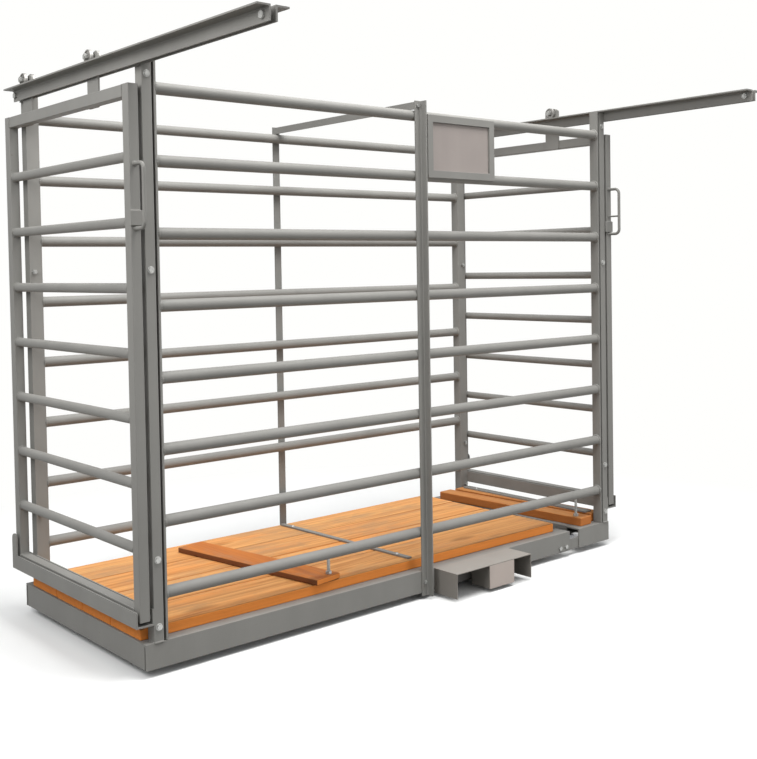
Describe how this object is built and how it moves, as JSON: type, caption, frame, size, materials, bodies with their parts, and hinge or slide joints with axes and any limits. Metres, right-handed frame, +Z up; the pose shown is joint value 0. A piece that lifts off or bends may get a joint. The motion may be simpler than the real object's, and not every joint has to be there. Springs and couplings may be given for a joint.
{
  "type": "livestock weighing crate",
  "caption": "Tubular steel livestock weighing crate with a timber deck, trolley-hung sliding gates at both ends, load cells in the base and a bare sign frame.",
  "frame": {"origin": "on the floor, at the middle of the part's bounding box; the crate's own middle stands towards +Y because the gate tracks reach out on the near side", "axes": "+X along the crate from the left gate to the right gate, +Y from the near side (sign and shelf) to the far side, +Z up"},
  "size_m": [2.346, 1.6354, 1.9383],
  "materials": {
    "grey_paint": "satin grey paint",
    "zinc": "bright zinc plate",
    "cell_steel": "nickel plate",
    "timber": "oiled softwood",
    "pale_paint": "satin pale grey paint",
    "black_plastic": "matt"
  },
  "bodies": {
    "crate": {"base_side_near": "grey_paint", "base_side_far": "grey_paint", "base_corner_pieces": "grey_paint", "base_ends": "grey_paint", "base_cross_tubes": "grey_paint", "base_splices": "grey_paint", "cell_pads": "grey_paint", "deck_straps": "grey_paint", "left_posts": "grey_paint", "right_posts": "grey_paint", "panel_stiles": "grey_paint", "near_rails": "grey_paint", "far_rails": "grey_paint", "near_mid_post": "grey_paint", "far_mid_post": "grey_paint", "top_tie": "grey_paint", "track_inner": "grey_paint", "track_outer": "grey_paint", "track_spacers": "grey_paint", "left_guide": "grey_paint", "right_guide": "grey_paint", "sign_frame": "grey_paint", "base_bolts": "zinc", "cell_bolts": "zinc", "levelling_feet": "zinc", "cleat_rods": "zinc", "cleat_nuts": "zinc", "strap_bolts": "zinc", "panel_bolts": "zinc", "mid_post_bolts": "zinc", "track_bolts": "zinc", "guide_bolts": "zinc", "shelf_bolts": "zinc", "load_cells": "cell_steel", "deck_planks": "timber", "left_cleat": "timber", "right_cleat": "timber", "instrument_shelf": "pale_paint", "junction_box": "pale_paint", "junction_box_lid": "pale_paint", "sign_plate": "pale_paint", "cable_gland": "black_plastic"},
    "left_gate": {"left_gate_stiles": "grey_paint", "left_gate_bars": "grey_paint", "left_gate_rungs": "grey_paint", "left_gate_hangers": "grey_paint", "left_gate_handle": "grey_paint", "left_gate_lug": "grey_paint", "left_axles": "zinc"},
    "left_wheels_near": {"left_wheels_near": "zinc"},
    "left_wheels_far": {"left_wheels_far": "zinc"},
    "right_gate": {"right_gate_stiles": "grey_paint", "right_gate_bars": "grey_paint", "right_gate_rungs": "grey_paint", "right_gate_hangers": "grey_paint", "right_gate_handle": "grey_paint", "right_gate_lug": "grey_paint", "right_axles": "zinc"},
    "right_wheels_near": {"right_wheels_near": "zinc"},
    "right_wheels_far": {"right_wheels_far": "zinc"}
  },
  "joints": [
    {"name": "left_gate_slide", "type": "slide", "parent": "crate", "child": "left_gate", "axis": [0, -1, 0], "range_m": [0, 0.85]},
    {"name": "left_wheels_near_spin", "type": "hinge", "parent": "left_gate", "child": "left_wheels_near", "pos_m": [-1.12, 0.17725, 1.9143], "axis": [1, 0, 0], "range_deg": [0, 2030]},
    {"name": "left_wheels_far_spin", "type": "hinge", "parent": "left_gate", "child": "left_wheels_far", "pos_m": [-1.12, 0.68725, 1.9143], "axis": [1, 0, 0], "range_deg": [0, 2030]},
    {"name": "right_gate_slide", "type": "slide", "parent": "crate", "child": "right_gate", "axis": [0, -1, 0], "range_m": [0, 0.85]},
    {"name": "right_wheels_near_spin", "type": "hinge", "parent": "right_gate", "child": "right_wheels_near", "pos_m": [1.12, 0.17725, 1.9143], "axis": [1, 0, 0], "range_deg": [0, 2030]},
    {"name": "right_wheels_far_spin", "type": "hinge", "parent": "right_gate", "child": "right_wheels_far", "pos_m": [1.12, 0.68725, 1.9143], "axis": [1, 0, 0], "range_deg": [0, 2030]}
  ],
  "couplings": [
    {"joint": "left_wheels_near_spin", "follows": "left_gate_slide", "rad_per_m": 41.667},
    {"joint": "left_wheels_far_spin", "follows": "left_gate_slide", "rad_per_m": 41.667},
    {"joint": "right_wheels_near_spin", "follows": "right_gate_slide", "rad_per_m": 41.667},
    {"joint": "right_wheels_far_spin", "follows": "right_gate_slide", "rad_per_m": 41.667}
  ]
}
